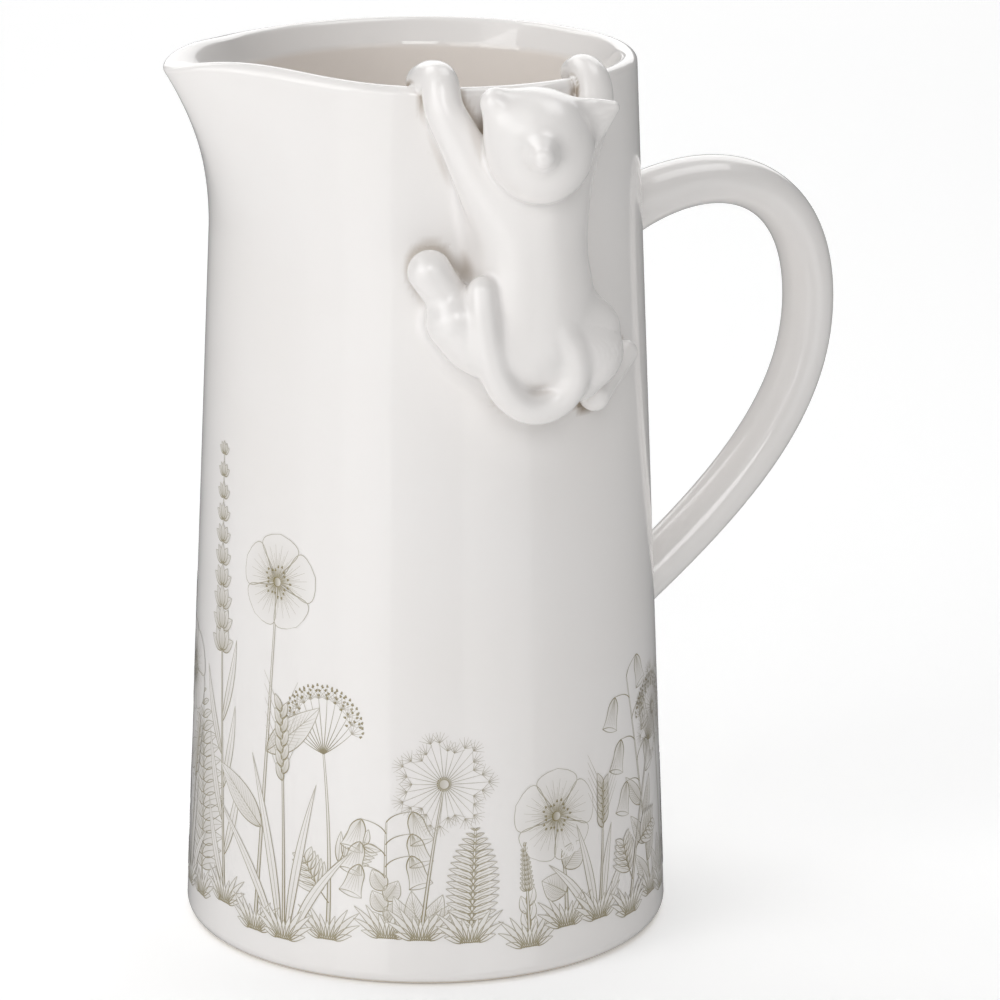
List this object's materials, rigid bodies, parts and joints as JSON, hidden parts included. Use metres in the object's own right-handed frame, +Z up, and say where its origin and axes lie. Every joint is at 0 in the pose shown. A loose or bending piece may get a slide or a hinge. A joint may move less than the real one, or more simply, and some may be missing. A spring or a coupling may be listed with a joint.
{
  "type": "pitcher",
  "caption": "Tall tapered ceramic pitcher with a pulled spout, a loop handle and a sculpted cat that hangs from the rim by its forepaws.",
  "frame": {"origin": "centre of the foot, on the surface that the pitcher stands on", "axes": "+Z up along the vessel's axis, +X toward the handle, -X toward the spout, the cat on the -Y side"},
  "size_m": [0.2003, 0.162, 0.2522],
  "materials": {
    "white_glaze": "glossy warm white glaze"
  },
  "bodies": {
    "root": {"pitcher_body": "white_glaze", "handle": "white_glaze", "cat_torso": "white_glaze", "cat_head": "white_glaze", "cat_muzzle": "white_glaze", "cat_ear_left": "white_glaze", "cat_ear_right": "white_glaze", "cat_foreleg_left": "white_glaze", "cat_foreleg_right": "white_glaze", "cat_haunch_left": "white_glaze", "cat_hind_paw_left": "white_glaze", "cat_haunch_right": "white_glaze", "cat_hind_paw_right": "white_glaze", "cat_tail": "white_glaze"}
  },
  "joints": []
}
